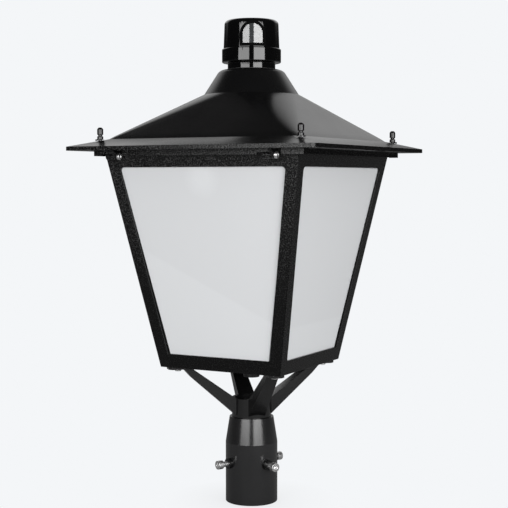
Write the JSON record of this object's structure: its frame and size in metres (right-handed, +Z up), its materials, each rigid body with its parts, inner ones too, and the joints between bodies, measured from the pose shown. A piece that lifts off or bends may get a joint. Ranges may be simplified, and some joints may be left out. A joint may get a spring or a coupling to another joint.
{
  "type": "post top lantern",
  "caption": "Square tapered post top lantern with opal panels, hinged pyramid roof, twist-lock photocell, arm spider and slip-fitter sleeve.",
  "frame": {"origin": "centre of the pole socket's mouth, at the bottom of the sleeve", "axes": "+Z up along the pole; -Y is the front, the side with the roof's hinges"},
  "size_m": [0.382, 0.382, 0.691],
  "materials": {
    "black_coat": "semi-gloss black powder coat, fine texture",
    "cap_coat": "smooth gloss black",
    "stainless": "bright stainless",
    "black_steel": "black oxide",
    "zinc": "zinc plated",
    "opal": "opal acrylic, satin",
    "seal_rubber": "matt",
    "tray_metal": "satin",
    "board_white": "white solder mask",
    "led_phosphor": "yellow phosphor",
    "clear_cover": "clear",
    "gear_case": "white enamel",
    "gear_plastic": "black",
    "terminal_plastic": "ivory",
    "gland_plastic": "black nylon",
    "cell_plastic": "gloss black",
    "cell_lens": "smoked clear",
    "blade_brass": "bright",
    "board_green": "circuit board"
  },
  "bodies": {
    "lantern": {"pole_sleeve": "black_coat", "clamp_nuts": "black_steel", "arm_spider": "black_coat", "foot_screws": "stainless", "foot_nuts": "zinc", "corner_braces": "black_coat", "base_plate": "black_coat", "roof_seal": "seal_rubber", "panel_clips": "zinc", "panel_clip_screws": "zinc", "gland_body": "gland_plastic", "gland_dome_nut": "gland_plastic", "gland_lock_nut": "gland_plastic", "gland_seal": "seal_rubber", "hinge_frame_lugs": "black_coat", "clamp_frame_lugs": "black_coat", "hinge_bolts": "stainless", "front_frame": "black_coat", "front_panel": "opal", "front_panel_seal": "seal_rubber", "right_frame": "black_coat", "right_panel": "opal", "right_panel_seal": "seal_rubber", "back_frame": "black_coat", "back_panel": "opal", "back_panel_seal": "seal_rubber", "left_frame": "black_coat", "left_panel": "opal", "left_panel_seal": "seal_rubber"},
    "roof": {"roof_canopy": "black_coat", "roof_cap": "cap_coat", "gear_tray": "tray_metal", "roof_nipple": "zinc", "nipple_nut": "zinc", "corner_studs": "black_steel", "stud_washers": "black_steel", "stud_nuts": "zinc", "led_board": "board_white", "led_chips": "led_phosphor", "led_cover": "clear_cover", "led_driver": "gear_case", "driver_screws": "zinc", "surge_protector": "gear_plastic", "terminal_block": "terminal_plastic", "receptacle_seal": "seal_rubber", "photocell_receptacle": "cell_plastic", "hinge_roof_lugs": "black_coat", "clamp_roof_lugs": "black_coat"},
    "photocell": {"photocell_cover": "cell_plastic", "photocell_lens": "cell_lens", "photocell_base": "cell_plastic", "photocell_blades": "blade_brass", "photocell_board": "board_green", "light_sensor": "cell_lens"},
    "clamp_bolt_left_body": {"clamp_bolt_left": "stainless"},
    "clamp_bolt_right_body": {"clamp_bolt_right": "stainless"},
    "clamp_screw_front_body": {"clamp_screw_front": "stainless"},
    "clamp_screw_right_body": {"clamp_screw_right": "stainless"},
    "clamp_screw_back_body": {"clamp_screw_back": "stainless"},
    "clamp_screw_left_body": {"clamp_screw_left": "stainless"}
  },
  "joints": [
    {"name": "roof_hinge", "type": "hinge", "parent": "lantern", "child": "roof", "pos_m": [0, -0.15601, 0.4967], "axis": [1, 0, 0], "range_deg": [0, 90]},
    {"name": "photocell_twist", "type": "hinge", "parent": "roof", "child": "photocell", "pos_m": [0, 0, 0.631], "axis": [0, 0, 1], "range_deg": [0, 20]},
    {"name": "clamp_bolt_left_travel", "type": "slide", "parent": "roof", "child": "clamp_bolt_left_body", "axis": [-1, 0, 0], "range_m": [0, 0.004]},
    {"name": "clamp_bolt_right_travel", "type": "slide", "parent": "roof", "child": "clamp_bolt_right_body", "axis": [-1, 0, 0], "range_m": [0, 0.004]},
    {"name": "clamp_screw_front_travel", "type": "slide", "parent": "lantern", "child": "clamp_screw_front_body", "axis": [0.4478, 0.8942, 0], "range_m": [-0.012, 0.0013]},
    {"name": "clamp_screw_right_travel", "type": "slide", "parent": "lantern", "child": "clamp_screw_right_body", "axis": [-0.8942, 0.4478, 0], "range_m": [-0.012, 0.0013]},
    {"name": "clamp_screw_back_travel", "type": "slide", "parent": "lantern", "child": "clamp_screw_back_body", "axis": [-0.4478, -0.8942, 0], "range_m": [-0.012, 0.0013]},
    {"name": "clamp_screw_left_travel", "type": "slide", "parent": "lantern", "child": "clamp_screw_left_body", "axis": [0.8942, -0.4478, 0], "range_m": [-0.012, 0.0013]}
  ]
}
